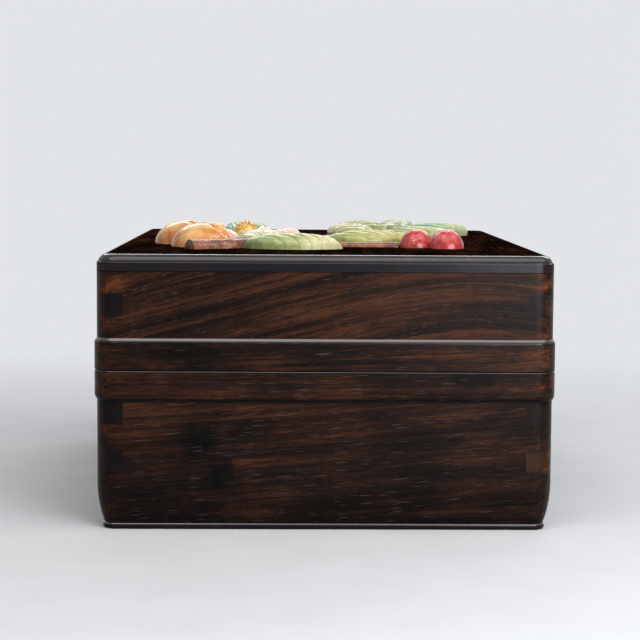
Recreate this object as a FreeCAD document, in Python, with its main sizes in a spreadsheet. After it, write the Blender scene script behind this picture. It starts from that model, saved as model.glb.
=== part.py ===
import FreeCAD, Part
import Sketcher

import math
import os

# A rectangular keepsake box for an ink stick and its grinding stone.
# The lid lifts straight off. +Z is up, the front faces -Y, and the origin is the
# middle of the underside. Lengths are in millimetres and angles in degrees.

doc = FreeCAD.newDocument("ink_box")

# Driving dimensions
SIZES = {
    # the box outside its boards
    "body_width": 120.0,
    "body_depth": 174.0,
    "corner_radius": 5.2,
    "board_thick": 7.2,
    # bottom board, whose thin rounded edge shows under the base boards
    "bottom_edge_thick": 1.8,
    "bottom_edge_inset": 1.5,
    "bottom_edge_round": 0.8,
    "bottom_panel_rise": 2.4,
    # base boards, drawn in towards the foot, with finger joints at the corners
    "base_board_height": 32.5,
    "base_curve_height": 10.2,
    "base_curve_inset": 1.8,
    "base_finger": 6.3,
    # raised rims at the two mouths
    "base_rim_height": 7.8,
    "lid_rim_height": 8.5,
    "rim_proud": 0.65,
    "rim_shoulder": 1.5,
    "rim_arris": 0.3,
    # linings inside the base, which stand up as the lip that keeps the lid in place
    "lining_thick": 2.4,
    "lip_height": 4.5,
    "lip_clearance": 0.3,
    "lip_chamfer": 0.5,
    # fence between the stone's bay and the stick's bay
    "divider_thick": 3.0,
    "divider_height": 27.0,
    "stick_bay": 34.0,
    "housing_depth": 1.0,
    # lid boards and the top board with its moulded edge
    "lid_board_height": 17.4,
    "lid_finger": 5.8,
    "top_edge_thick": 2.5,
    "top_ledge": 0.35,
    "top_crown": 2.0,
    "top_round_reach": 2.4,
    "top_arris": 0.2,
    "top_panel_drop": 1.5,
    # stone inlay on the lid: how deep it is let in and the least gap between stones
    "inlay_sink": 0.8,
    "inlay_gap": 0.25,
    # stem, a round rod bent to an arc that turns to the left as it climbs
    "stem_start_x": -37.0,
    "stem_start_y": -58.0,
    "stem_heading": 33.0,
    "stem_sweep": 53.0,
    "stem_arc_radius": 140.0,
    "stem_radius": 2.6,
    # leaves
    "leaf_length": 28.0,
    "leaf_round_side": 7.0,
    "leaf_flat_side": 5.0,
    "leaf_rise": 4.4,
    "leaf_crown_margin": 1.6,
    "leaf_splay": 43.0,
    # twigs, and the angles at which they leave the stem
    "twig_radius": 1.5,
    "blossom_twig": 19.0,
    "blossom_twig_splay": 90.0,
    "berry_twig": 30.0,
    "berry_twig_splay": 50.0,
    "bud_twig": 12.0,
    # five-petalled blossom with a bead in the middle
    "blossom_ring": 11.0,
    "petal_rise": 4.6,
    "eye_rise": 5.6,
    # round stones
    "fruit_radius": 9.2,
    "fruit_rise": 6.8,
    "fruit_heading": 108.0,
    "berry_radius": 4.8,
    "berry_rise": 5.4,
    "bud_radius": 3.4,
    "bud_rise": 4.4,
}

sheet = doc.addObject("Spreadsheet::Sheet", "Sizes")
for row, (alias, value) in enumerate(SIZES.items(), start=1):
    sheet.set(f"A{row}", alias)
    sheet.set(f"B{row}", str(value))
    sheet.setAlias(f"B{row}", alias)
doc.recompute()

# Levels, from the surface it stands on upwards
FLOOR = "(Sizes.bottom_edge_thick + Sizes.bottom_panel_rise)"
BASE_LOW = "Sizes.bottom_edge_thick"
BASE_HIGH = f"({BASE_LOW} + Sizes.base_board_height)"
MOUTH = f"({BASE_HIGH} + Sizes.base_rim_height)"
LIP_TOP = f"({MOUTH} + Sizes.lip_height)"
LID_LOW = f"({MOUTH} + Sizes.lid_rim_height)"
LID_HIGH = f"({LID_LOW} + Sizes.lid_board_height)"
LEDGE = f"({LID_HIGH} + Sizes.top_edge_thick)"
LID_TOP = f"({LEDGE} + Sizes.top_crown)"

# Room inside the boards, and inside the linings
WIDTH = "Sizes.body_width"
DEPTH = "Sizes.body_depth"
WALL = "Sizes.board_thick"
LINED_WALL = "(Sizes.board_thick + Sizes.lining_thick)"

# How far a cutter reaches past the wood that it takes away
OVERCUT = 1.0

# How far in from the boards' faces the mitres are drawn, past the linings
MITRE_REACH = f"(2 * {LINED_WALL})"

# Each side of the box: its name, its turn about Z, its length and its distance across
SIDES = (
    ("front", 0, WIDTH, DEPTH),
    ("right", 90, DEPTH, WIDTH),
    ("back", 180, WIDTH, DEPTH),
    ("left", 270, DEPTH, WIDTH),
)

PETALS = 5
BASE_PINS = 2


def vector(x, y, z=0.0):
    return FreeCAD.Vector(x, y, z)


def value_of(expression):
    """What an expression comes to with the sheet's sizes."""
    return float(sheet.evalExpression(expression))


def block(name, low, span):
    """A plain block from its lowest corner and its three lengths."""
    box = doc.addObject("Part::Box", name)
    for axis, place in zip("xyz", low):
        box.setExpression(f"Placement.Base.{axis}", place)
    for side, length in zip(("Length", "Width", "Height"), span):
        box.setExpression(side, length)
    return box


def centred_block(name, width, depth, low, height):
    return block(name, (f"-{width} / 2", f"-{depth} / 2", low), (width, depth, height))


def cut(name, base, tool):
    result = doc.addObject("Part::Cut", name)
    result.Base = base
    result.Tool = tool
    result.Refine = True
    return result


def shared(name, base, tool):
    """What two shapes have in common."""
    result = doc.addObject("Part::Common", name)
    result.Base = base
    result.Tool = tool
    result.Refine = True
    return result


def joined(name, *shapes):
    result = doc.addObject("Part::MultiFuse", name)
    result.Shapes = list(shapes)
    result.Refine = True
    return result


def origin_plane(body, role):
    return next(plane for plane in body.Origin.OriginFeatures if plane.Role == role)


def fix(sketch, constraint, expression):
    """Adds a constraint whose size comes from the sheet."""
    index = sketch.addConstraint(constraint)
    sketch.setExpression(f"Constraints[{index}]", expression)


def draw_outline(sketch, grow):
    """The box's plan outline, grown on every side, with its corners as arcs."""
    half_width = value_of(f"{WIDTH} / 2 + {grow}")
    half_depth = value_of(f"{DEPTH} / 2 + {grow}")
    radius = value_of(f"Sizes.corner_radius + {grow}")
    in_x, in_y = half_width - radius, half_depth - radius
    lines = (
        (vector(-in_x, -half_depth), vector(in_x, -half_depth)),
        (vector(half_width, -in_y), vector(half_width, in_y)),
        (vector(in_x, half_depth), vector(-in_x, half_depth)),
        (vector(-half_width, in_y), vector(-half_width, -in_y)),
    )
    centres = ((in_x, -in_y), (in_x, in_y), (-in_x, in_y), (-in_x, -in_y))
    for quarter, (line, centre) in enumerate(zip(lines, centres)):
        start = math.radians(90 * quarter - 90)
        circle = Part.Circle(vector(*centre), vector(0, 0, 1), radius)
        sketch.addGeometry(Part.LineSegment(*line), False)
        sketch.addGeometry(Part.ArcOfCircle(circle, start, start + math.radians(90)), False)
    count = 2 * len(lines)
    for piece in range(count):
        sketch.addConstraint(Sketcher.Constraint("Tangent", piece, 2, (piece + 1) % count, 1))
    for line, direction in ((0, "Horizontal"), (2, "Vertical"), (4, "Horizontal"), (6, "Vertical")):
        sketch.addConstraint(Sketcher.Constraint(direction, line))
    for arc in (3, 5, 7):
        sketch.addConstraint(Sketcher.Constraint("Equal", 1, arc))
    sketch.addConstraint(Sketcher.Constraint("Symmetric", 0, 1, 4, 1, -1, 1))
    width = Sketcher.Constraint("DistanceX", 6, 1, 2, 1, 2 * half_width)
    depth = Sketcher.Constraint("DistanceY", 0, 1, 4, 1, 2 * half_depth)
    fix(sketch, Sketcher.Constraint("Radius", 1, radius), f"Sizes.corner_radius + {grow}")
    fix(sketch, width, f"Sizes.body_width + 2 * {grow}")
    fix(sketch, depth, f"Sizes.body_depth + 2 * {grow}")


def rounded_block(name, grow, low, height):
    """A block with the box's rounded plan, grown or drawn in on every side."""
    body = doc.addObject("PartDesign::Body", name)
    sketch = body.newObject("Sketcher::SketchObject", f"{name}_plan")
    sketch.AttachmentSupport = [(origin_plane(body, "XY_Plane"), "")]
    sketch.MapMode = "FlatFace"
    draw_outline(sketch, grow)
    pad = body.newObject("PartDesign::Pad", f"{name}_pad")
    pad.Profile = sketch
    pad.setExpression("Length", height)
    sketch.Visibility = False
    body.setExpression("Placement.Base.z", low)
    return body


outline_path = doc.addObject("Sketcher::SketchObject", "outline_path")
draw_outline(outline_path, "0")


def moulding(name, face, start, end, inset, tangent_to_face=True):
    """A cutter that runs round the outline and rounds an edge.

    Its arc goes from the face at height start to the height end, drawn in by inset.
    The arc leaves the face smoothly, or else runs out level into the flat at its end.
    face is the distance that the face stands outside the boards.
    """
    section = doc.addObject("Sketcher::SketchObject", f"{name}_section")
    section.Placement = FreeCAD.Placement(vector(0, 0, 0), FreeCAD.Rotation(vector(1, 1, 1), 120))
    out = f"(Sizes.body_depth / 2 + {face})"
    on_face = vector(value_of(out), value_of(start))
    drawn_in = vector(value_of(f"{out} - {inset}"), value_of(end))
    outside = on_face.x + OVERCUT
    reach = on_face.x - drawn_in.x
    up = drawn_in.y - on_face.y
    radius = (up * up + reach * reach) / (2 * (reach if tangent_to_face else abs(up)))
    if tangent_to_face:
        middle = vector(on_face.x - radius, on_face.y)
    else:
        middle = vector(drawn_in.x, drawn_in.y - math.copysign(radius, up))
    first, last = (on_face, drawn_in) if up > 0 else (drawn_in, on_face)
    face_end, inner_end = (1, 2) if up > 0 else (2, 1)
    angles = [math.atan2(point.y - middle.y, point.x - middle.x) for point in (first, last)]
    circle = Part.Circle(middle, vector(0, 0, 1), radius)
    section.addGeometry(Part.ArcOfCircle(circle, *angles), False)
    corners = (drawn_in, vector(outside, drawn_in.y), vector(outside, on_face.y), on_face)
    for corner, following in zip(corners, corners[1:]):
        section.addGeometry(Part.LineSegment(corner, following), False)
    section.addConstraint(Sketcher.Constraint("Coincident", 0, inner_end, 1, 1))
    section.addConstraint(Sketcher.Constraint("Coincident", 1, 2, 2, 1))
    section.addConstraint(Sketcher.Constraint("Coincident", 2, 2, 3, 1))
    section.addConstraint(Sketcher.Constraint("Coincident", 3, 2, 0, face_end))
    section.addConstraint(Sketcher.Constraint("Horizontal", 1))
    section.addConstraint(Sketcher.Constraint("Vertical", 2))
    section.addConstraint(Sketcher.Constraint("Horizontal", 3))
    if tangent_to_face:
        section.addConstraint(Sketcher.Constraint("Horizontal", 0, 3, 0, face_end))
    else:
        section.addConstraint(Sketcher.Constraint("Vertical", 0, 3, 0, inner_end))
    for direction, end_point, place, expression in (
        ("DistanceX", (0, face_end), on_face.x, out),
        ("DistanceY", (0, face_end), on_face.y, start),
        ("DistanceX", (0, inner_end), drawn_in.x, f"{out} - {inset}"),
        ("DistanceY", (0, inner_end), drawn_in.y, end),
        ("DistanceX", (1, 2), outside, f"{out} + {OVERCUT}"),
    ):
        fix(section, Sketcher.Constraint(direction, -1, 1, *end_point, place), expression)
    return swept(name, section)


def swept(name, section):
    cutter = doc.addObject("Part::Sweep", name)
    cutter.Sections = [section]
    cutter.Spine = (outline_path, [f"Edge{number}" for number in range(1, 9)])
    cutter.Solid = True
    return cutter


def finger_boards(prefix, form, low, height, finger, pin_lows):
    """Four boards of one form. The side boards' pins show at the front and back."""
    levels = [
        centred_block(f"{prefix}_pin_level_{number}", WIDTH, DEPTH, pin_low, finger)
        for number, pin_low in enumerate(pin_lows, start=1)
    ]
    side_places = (("left", f"-{WIDTH} / 2"), ("right", f"{WIDTH} / 2 - {WALL}"))
    side_blanks = {
        side: block(f"{prefix}_{side}_blank", (x, f"-{DEPTH} / 2", low), (WALL, DEPTH, height))
        for side, x in side_places
    }
    pin_heights = joined(f"{prefix}_pin_heights", *levels) if len(levels) > 1 else levels[0]
    pins = shared(f"{prefix}_pins", pin_heights, joined(f"{prefix}_sides", *side_blanks.values()))
    long_blanks = []
    for side, y in (("front", f"-{DEPTH} / 2"), ("back", f"{DEPTH} / 2 - {WALL}")):
        plain = block(f"{prefix}_{side}_blank", (f"-{WIDTH} / 2", y, low), (WIDTH, WALL, height))
        notched = cut(f"{prefix}_{side}_notched", plain, pins)
        shared(f"{prefix}_{side}_board", form, notched)
        long_blanks.append(notched)
    long_boards = joined(f"{prefix}_long_boards", *long_blanks)
    for side, blank in side_blanks.items():
        pinned = cut(f"{prefix}_{side}_pinned", blank, long_boards)
        shared(f"{prefix}_{side}_board", form, pinned)


def mitre(side, turn, along, across):
    """The room on one side of the box, between 45 degree planes through its corners."""
    room = doc.addObject("Part::Wedge", f"mitre_{side}")
    room.setExpression("Xmin", f"-{along} / 2 - {OVERCUT}")
    room.setExpression("Xmax", f"{along} / 2 + {OVERCUT}")
    room.setExpression("X2min", f"-{along} / 2 + {MITRE_REACH}")
    room.setExpression("X2max", f"{along} / 2 - {MITRE_REACH}")
    room.setExpression("Ymin", f"-{across} / 2 - {OVERCUT}")
    room.setExpression("Ymax", f"-{across} / 2 + {MITRE_REACH}")
    for low_side, high_side in (("Zmin", "Zmax"), ("Z2min", "Z2max")):
        room.setExpression(low_side, "0")
        room.setExpression(high_side, LID_TOP)
    room.Placement.Rotation = FreeCAD.Rotation(vector(0, 0, 1), turn)
    return room


def mitred(prefix, ring):
    """A ring cut into four strips that meet at mitres."""
    return {side: shared(f"{prefix}_{side}", ring, mitres[side]) for side in mitres}


mitres = {side: mitre(side, turn, along, across) for side, turn, along, across in SIDES}


def rim(prefix, low, height, wall, shoulder, arris):
    """A raised rim round a mouth, with one rounded shoulder and one eased edge."""
    blank = rounded_block(f"{prefix}_rim_blank", "Sizes.rim_proud", low, height)
    inside = centred_block(
        f"{prefix}_rim_inside", f"({WIDTH} - 2 * {wall})", f"({DEPTH} - 2 * {wall})", low, height
    )
    ring = cut(f"{prefix}_rim_square", blank, inside)
    ring = cut(f"{prefix}_rim_shouldered", ring, shoulder)
    ring = cut(f"{prefix}_rim_ring", ring, arris)
    mitred(f"{prefix}_rim", ring)


# Bottom board: a rounded edge that shows, and a raised panel between the base boards
bottom_edge = rounded_block(
    "bottom_edge", "-Sizes.bottom_edge_inset", "0", "Sizes.bottom_edge_thick"
)
nose_face = "-Sizes.bottom_edge_inset"
nose_round = "Sizes.bottom_edge_round"
nose_above = moulding(
    "nose_above", nose_face, f"{BASE_LOW} - {nose_round}", BASE_LOW, nose_round
)
nose_below = moulding("nose_below", nose_face, nose_round, "0", nose_round)
bottom_nosed = cut("bottom_nosed", cut("bottom_nosed_above", bottom_edge, nose_above), nose_below)
INNER_WIDTH = f"({WIDTH} - 2 * {WALL})"
INNER_DEPTH = f"({DEPTH} - 2 * {WALL})"
bottom_panel = centred_block(
    "bottom_panel", INNER_WIDTH, INNER_DEPTH, BASE_LOW, "Sizes.bottom_panel_rise"
)
joined("base_bottom_board", bottom_nosed, bottom_panel)

# Base boards
base_blank = rounded_block("base_blank", "0", BASE_LOW, "Sizes.base_board_height")
base_curve = moulding(
    "base_curve", "0", f"{BASE_LOW} + Sizes.base_curve_height", BASE_LOW, "Sizes.base_curve_inset"
)
base_form = cut("base_form", base_blank, base_curve)
base_pin_lows = [f"{BASE_HIGH} - {2 * pin + 1} * Sizes.base_finger" for pin in range(BASE_PINS)]
finger_boards(
    "base", base_form, BASE_LOW, "Sizes.base_board_height", "Sizes.base_finger", base_pin_lows
)

# Base rim, with its shoulder below and its eased edge at the mouth
base_shoulder = moulding(
    "base_shoulder", "Sizes.rim_proud", f"{BASE_HIGH} + Sizes.rim_shoulder", BASE_HIGH,
    "Sizes.rim_proud",
)
base_arris = moulding(
    "base_arris", "Sizes.rim_proud", f"{MOUTH} - Sizes.rim_arris", MOUTH, "Sizes.rim_arris"
)
rim("base", BASE_HIGH, "Sizes.base_rim_height", WALL, base_shoulder, base_arris)


def chamfered_ring(name, width, depth, wall, low, height, chamfer):
    """A rectangular ring whose two top edges are chamfered."""
    ring = doc.addObject("PartDesign::Body", name)
    for number, (kind, less) in enumerate((("Pad", "0"), ("Pocket", f"2 * {wall}"))):
        sketch = ring.newObject("Sketcher::SketchObject", f"{name}_plan_{number}")
        sketch.AttachmentSupport = [(origin_plane(ring, "XY_Plane"), "")]
        sketch.MapMode = "FlatFace"
        corners = (vector(-5, -5), vector(5, -5), vector(5, 5), vector(-5, 5))
        for edge in range(4):
            sketch.addGeometry(Part.LineSegment(corners[edge], corners[(edge + 1) % 4]), False)
        for edge in range(4):
            sketch.addConstraint(Sketcher.Constraint("Coincident", edge, 2, (edge + 1) % 4, 1))
            direction = "Vertical" if edge % 2 else "Horizontal"
            sketch.addConstraint(Sketcher.Constraint(direction, edge))
        sketch.addConstraint(Sketcher.Constraint("Symmetric", 0, 1, 1, 2, -1, 1))
        fix(sketch, Sketcher.Constraint("DistanceX", 0, 1, 0, 2, 10.0), f"{width} - {less}")
        fix(sketch, Sketcher.Constraint("DistanceY", 1, 1, 1, 2, 10.0), f"{depth} - {less}")
        feature = ring.newObject(f"PartDesign::{kind}", f"{name}_{kind.lower()}")
        feature.Profile = sketch
        if kind == "Pad":
            feature.setExpression("Length", height)
        else:
            feature.Type = "ThroughAll"
            feature.Reversed = True
    doc.recompute()
    faces = feature.Shape.Faces
    top = max(range(len(faces)), key=lambda index: faces[index].CenterOfMass.z)
    edges = ring.newObject("PartDesign::Chamfer", f"{name}_chamfer")
    edges.Base = (feature, [f"Face{top + 1}"])
    edges.setExpression("Size", chamfer)
    ring.setExpression("Placement.Base.z", low)
    return ring


# Linings and the divider between the two bays, let into the side linings
lining_ring = chamfered_ring(
    "lining_ring", INNER_WIDTH, INNER_DEPTH, "Sizes.lining_thick", FLOOR,
    f"{LIP_TOP} - {FLOOR}", "Sizes.lip_chamfer",
)
linings = {side: shared(f"lining_{side}_plain", lining_ring, mitres[side]) for side in mitres}
BAY_WIDTH = f"({WIDTH} - 2 * {LINED_WALL})"
DIVIDER_LENGTH = f"({BAY_WIDTH} + 2 * Sizes.housing_depth)"
DIVIDER_Y = f"({DEPTH} / 2 - {LINED_WALL} - Sizes.stick_bay - Sizes.divider_thick)"
HALF_THICK = "(Sizes.divider_thick / 2)"
divider_low = (f"-{DIVIDER_LENGTH} / 2", DIVIDER_Y, FLOOR)
housing = block(
    "divider_room", divider_low, (DIVIDER_LENGTH, "Sizes.divider_thick", "Sizes.divider_height")
)
divider_flat = block(
    "divider_flat", divider_low,
    (DIVIDER_LENGTH, "Sizes.divider_thick", f"Sizes.divider_height - {HALF_THICK}"),
)
divider_round = doc.addObject("Part::Cylinder", "divider_round")
divider_round.Placement.Rotation = FreeCAD.Rotation(vector(0, 1, 0), 90)
divider_round.setExpression("Radius", HALF_THICK)
divider_round.setExpression("Height", DIVIDER_LENGTH)
divider_round.setExpression("Placement.Base.x", f"-{DIVIDER_LENGTH} / 2")
divider_round.setExpression("Placement.Base.y", f"{DIVIDER_Y} + {HALF_THICK}")
divider_round.setExpression("Placement.Base.z", f"{FLOOR} + Sizes.divider_height - {HALF_THICK}")
joined("base_divider", divider_flat, divider_round)
for side, lining in linings.items():
    cut(f"base_lining_{side}", lining, housing)

# Lid rim, with its eased edge at the mouth, its shoulder above and room for the lip
lid_arris = moulding(
    "lid_arris", "Sizes.rim_proud", f"{MOUTH} + Sizes.rim_arris", MOUTH, "Sizes.rim_arris"
)
lid_shoulder = moulding(
    "lid_shoulder", "Sizes.rim_proud", f"{LID_LOW} - Sizes.rim_shoulder", LID_LOW,
    "Sizes.rim_proud",
)
lid_wall = f"({WALL} - Sizes.lip_clearance)"
rim("lid", MOUTH, "Sizes.lid_rim_height", lid_wall, lid_shoulder, lid_arris)

# Lid boards
lid_form = rounded_block("lid_form", "0", LID_LOW, "Sizes.lid_board_height")
lid_pin_low = f"{LID_LOW} + (Sizes.lid_board_height - Sizes.lid_finger) / 2"
finger_boards(
    "lid", lid_form, LID_LOW, "Sizes.lid_board_height", "Sizes.lid_finger", [lid_pin_low]
)


# Stone inlay, worked out as points and headings that follow from one another
def onward(point, heading, distance):
    """The point at a distance from another point, towards a heading."""
    x, y = point
    return (f"({x} + {distance} * cos({heading}))", f"({y} + {distance} * sin({heading}))")


def placed(stone, point, heading="0"):
    stone.setExpression("Placement.Base.x", point[0])
    stone.setExpression("Placement.Base.y", point[1])
    stone.setExpression("Placement.Rotation.Angle", heading)
    stones.append(stone)


def dome(name, point, radius, rise):
    """A round cabochon whose widest level is the lid's surface."""
    bead = doc.addObject("Part::Ellipsoid", f"{name}_bead")
    bead.setExpression("Radius1", rise)
    bead.setExpression("Radius2", radius)
    bead.setExpression("Radius3", radius)
    bead.setExpression("Placement.Base.z", LID_TOP)
    placed(shared(name, bead, stone_room), point)


def twig(name, start, heading, length):
    """A straight round rod, half sunk in the lid."""
    rod = doc.addObject("Part::Cylinder", f"{name}_rod")
    rod.Placement.Rotation = FreeCAD.Rotation(vector(0, 1, 0), 90)
    rod.setExpression("Radius", TWIG_RADIUS)
    rod.setExpression("Height", length)
    rod.setExpression("Placement.Base.z", LID_TOP)
    placed(shared(name, rod, stone_room), start, heading)
    return onward(start, heading, length)


def cluster(name, tip, heading, radius, rise):
    """Three equal round stones, each beside the others: one at a twig's tip and two beyond."""
    first = onward(tip, heading, f"({radius} + {GAP})")
    centres = [first]
    for turn in (30, -30):
        centres.append(onward(first, f"({heading} + {turn})", f"(2 * {radius} + {GAP})"))
    for number, centre in enumerate(centres, start=1):
        dome(f"{name}_{number}", centre, radius, rise)


def stem_heading(share):
    """The stem's heading at a share of its length."""
    return f"(Sizes.stem_heading + {share} * Sizes.stem_sweep)"


def beside_stem(share, side, clear):
    """A point beside the stem, 1 to its left or -1 to its right, clear of its skin."""
    heading = stem_heading(share)
    off_axis = f"(Sizes.stem_arc_radius - {side} * (Sizes.stem_radius + {clear}))"
    return onward(STEM_CENTRE, f"({heading} - 90)", off_axis)


def leaf(name, point, heading, round_side):
    """A leaf from its base, with its fuller side to the left for 1 or right for -1."""
    fuller, flatter = "Sizes.leaf_round_side", "Sizes.leaf_flat_side"
    bulges = ((fuller, flatter) if round_side > 0 else (flatter, fuller))
    arcs = []
    for side, bulge in zip((1, -1), bulges):
        radius = f"((Sizes.leaf_length ^ 2 / 4 + {bulge} ^ 2) / (2 * {bulge}))"
        disc = doc.addObject("Part::Cylinder", f"{name}_side_{'left' if side > 0 else 'right'}")
        disc.setExpression("Radius", radius)
        disc.setExpression("Height", "Sizes.inlay_sink + Sizes.leaf_rise")
        disc.setExpression("Placement.Base.x", "Sizes.leaf_length / 2")
        disc.setExpression("Placement.Base.y", f"{side} * ({bulge} - {radius})")
        disc.setExpression("Placement.Base.z", f"{LID_TOP} - Sizes.inlay_sink")
        arcs.append(disc)
    crown = doc.addObject("Part::Ellipsoid", f"{name}_crown")
    crown.setExpression("Radius1", "Sizes.leaf_rise")
    crown.setExpression("Radius2", "Sizes.leaf_length / 2 + Sizes.leaf_crown_margin")
    crown.setExpression("Radius3", f"{fuller} + Sizes.leaf_crown_margin")
    crown.setExpression("Placement.Base.x", "Sizes.leaf_length / 2")
    crown.setExpression("Placement.Base.z", LID_TOP)
    plan = shared(f"{name}_plan", *arcs)
    placed(shared(name, plan, crown), point, heading)


stones = []
GAP = "Sizes.inlay_gap"
TWIG_RADIUS = "Sizes.twig_radius"

# The room above the recesses' floors, wide enough for the whole ring of the stem's arc
RING_WIDTH = "(2 * (Sizes.stem_arc_radius + 2 * Sizes.stem_radius))"
stone_room = centred_block(
    "stone_room", RING_WIDTH, RING_WIDTH, f"{LID_TOP} - Sizes.inlay_sink",
    "Sizes.inlay_sink + Sizes.fruit_rise + Sizes.berry_rise",
)

# Stem: a bent rod whose centre line lies in the lid's surface
STEM_START = ("Sizes.stem_start_x", "Sizes.stem_start_y")
STEM_CENTRE = onward(STEM_START, "(Sizes.stem_heading + 90)", "Sizes.stem_arc_radius")
stem_rod = doc.addObject("Part::Torus", "stem_rod")
stem_rod.setExpression("Radius1", "Sizes.stem_arc_radius")
stem_rod.setExpression("Radius2", "Sizes.stem_radius")
stem_rod.setExpression("Angle3", "Sizes.stem_sweep")
stem_rod.setExpression("Placement.Base.z", LID_TOP)
placed(shared("inlay_stem", stem_rod, stone_room), STEM_CENTRE, "(Sizes.stem_heading - 90)")

# Leaves: their share of the stem's length, and 1 for its left side or -1 for its right
LEAVES = ((0.12, -1), (0.37, -1), (0.61, -1), (0.85, -1), (0.2, 1), (0.71, 1), (0.94, 1))
for number, (share, side) in enumerate(LEAVES, start=1):
    leaf_heading = f"({stem_heading(share)} + {side} * Sizes.leaf_splay)"
    leaf(f"inlay_leaf_{number}", beside_stem(share, side, GAP), leaf_heading, side)
stem_end = onward(STEM_CENTRE, f"({stem_heading(1)} - 90)", "Sizes.stem_arc_radius")
leaf("inlay_leaf_tip", onward(stem_end, stem_heading(1), GAP), stem_heading(1), 1)


def side_twig(name, share, side, splay, length):
    """A twig from beside the stem. Its square end clears the stem at any splay."""
    heading = f"({stem_heading(share)} + {side} * {splay})"
    clear = f"({GAP} + {TWIG_RADIUS} * abs(cos({splay})))"
    return heading, twig(name, beside_stem(share, side, clear), heading, length)


# Blossom on its own twig, which ends in the notch between two petals
HALF_PETAL_TURN = 180 / PETALS
PETAL_RADIUS = f"(Sizes.blossom_ring * sin({HALF_PETAL_TURN}) - {GAP} / 2)"
EYE_RADIUS = f"(Sizes.blossom_ring - {PETAL_RADIUS} - {GAP})"
PETAL_OFF_AXIS = f"(Sizes.blossom_ring * sin({HALF_PETAL_TURN}) - {TWIG_RADIUS})"
NOTCH_REACH = (
    f"(Sizes.blossom_ring * cos({HALF_PETAL_TURN})"
    f" + sqrt(({PETAL_RADIUS} + {GAP}) ^ 2 - {PETAL_OFF_AXIS} ^ 2))"
)
blossom_heading, blossom_tip = side_twig(
    "inlay_blossom_twig", 0.5, 1, "Sizes.blossom_twig_splay", "Sizes.blossom_twig"
)
blossom = onward(blossom_tip, blossom_heading, NOTCH_REACH)
for petal in range(PETALS):
    petal_heading = f"({blossom_heading} + {petal * 360 / PETALS})"
    petal_centre = onward(blossom, petal_heading, "Sizes.blossom_ring")
    dome(f"inlay_petal_{petal + 1}", petal_centre, PETAL_RADIUS, "Sizes.petal_rise")
dome("inlay_blossom_eye", blossom, EYE_RADIUS, "Sizes.eye_rise")

# Buds and a leaf on a twig that leaves the blossom between two other petals
bud_heading = f"({blossom_heading} - {HALF_PETAL_TURN})"
bud_twig_start = onward(blossom, bud_heading, NOTCH_REACH)
bud_tip = twig("inlay_bud_twig", bud_twig_start, bud_heading, "Sizes.bud_twig")
cluster("inlay_bud", bud_tip, bud_heading, "Sizes.bud_radius", "Sizes.bud_rise")
bud_twig_middle = onward(bud_twig_start, bud_heading, "Sizes.bud_twig / 2")
bud_leaf_base = onward(bud_twig_middle, f"({bud_heading} - 90)", f"({TWIG_RADIUS} + {GAP})")
leaf("inlay_leaf_bud", bud_leaf_base, f"({bud_heading} - Sizes.leaf_splay)", -1)

# Berries on a twig to the right of the stem
berry_heading, berry_tip = side_twig(
    "inlay_berry_twig", 0.26, -1, "Sizes.berry_twig_splay", "Sizes.berry_twig"
)
cluster("inlay_berry", berry_tip, berry_heading, "Sizes.berry_radius", "Sizes.berry_rise")

# Two fruits to the left of the stem's foot
fruit = beside_stem(0.1, 1, f"(Sizes.fruit_radius + {GAP})")
dome("inlay_fruit_1", fruit, "Sizes.fruit_radius", "Sizes.fruit_rise")
second_fruit = onward(fruit, "Sizes.fruit_heading", f"(2 * Sizes.fruit_radius + {GAP})")
dome("inlay_fruit_2", second_fruit, "Sizes.fruit_radius", "Sizes.fruit_rise")

# Top board: moulded edge, a panel between the lid boards and a recess under each stone
top_edge = rounded_block("top_edge", "0", LID_HIGH, "Sizes.top_edge_thick")
top_crown = rounded_block("top_crown", "-Sizes.top_ledge", LEDGE, "Sizes.top_crown")
top_panel = centred_block(
    "top_panel", INNER_WIDTH, INNER_DEPTH, f"{LID_HIGH} - Sizes.top_panel_drop",
    "Sizes.top_panel_drop",
)
top_stack = joined("top_stack", top_edge, top_crown, top_panel)
TOP_ARRIS = "Sizes.top_arris"
top_cutters = (
    moulding("top_foot", "0", f"{LID_HIGH} + {TOP_ARRIS}", LID_HIGH, TOP_ARRIS),
    moulding("top_ledge_edge", "0", f"{LEDGE} - {TOP_ARRIS}", LEDGE, TOP_ARRIS),
    moulding("top_round", "-Sizes.top_ledge", LEDGE, LID_TOP, "Sizes.top_round_reach", False),
)
top_form = top_stack
for number, cutter in enumerate(top_cutters, start=1):
    top_form = cut(f"top_moulded_{number}", top_form, cutter)
all_stones = doc.addObject("Part::Compound", "all_stones")
all_stones.Links = stones
cut("lid_top_board", top_form, all_stones)

# The pieces that the box is made of
NODES = ["base_bottom_board", "base_divider", "lid_top_board"]
for side, *_ in SIDES:
    NODES += [f"base_{side}_board", f"base_rim_{side}", f"base_lining_{side}"]
    NODES += [f"lid_{side}_board", f"lid_rim_{side}"]
NODES += [stone.Name for stone in stones]

doc.recompute()

for item in doc.Objects:
    if {"Invalid", "Error"} & set(item.State):
        raise RuntimeError(f"{item.Name} failed: {item.State}")
os.makedirs("parts", exist_ok=True)
for name in NODES:
    node = doc.getObject(name)
    shape = node.Shape
    if shape.isNull() or not shape.isValid() or len(shape.Solids) != 1:
        raise RuntimeError(f"{name} is not one valid solid")
for name in NODES:
    shape = doc.getObject(name).Shape
    shape.exportStep(f"parts/{name}.step")
    print(f"{name}: {shape.Volume:.1f} mm3")
print(len(NODES), "pieces")
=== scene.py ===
# %% [markdown]
# # An ink stick and stone box in dark rosewood
# The box is a base and a lift-off lid of dark, satin-polished rosewood. Its corners are
# finger-jointed, a raised rim runs round each mouth, and a spray of coloured stones is
# let into the lid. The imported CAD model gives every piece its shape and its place.
# This lesson gives the wood its grain and polish, carves the stones, and sets up the
# camera, floor and lights.

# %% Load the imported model
import math
import bpy
from mathutils import Matrix, Vector


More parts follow.
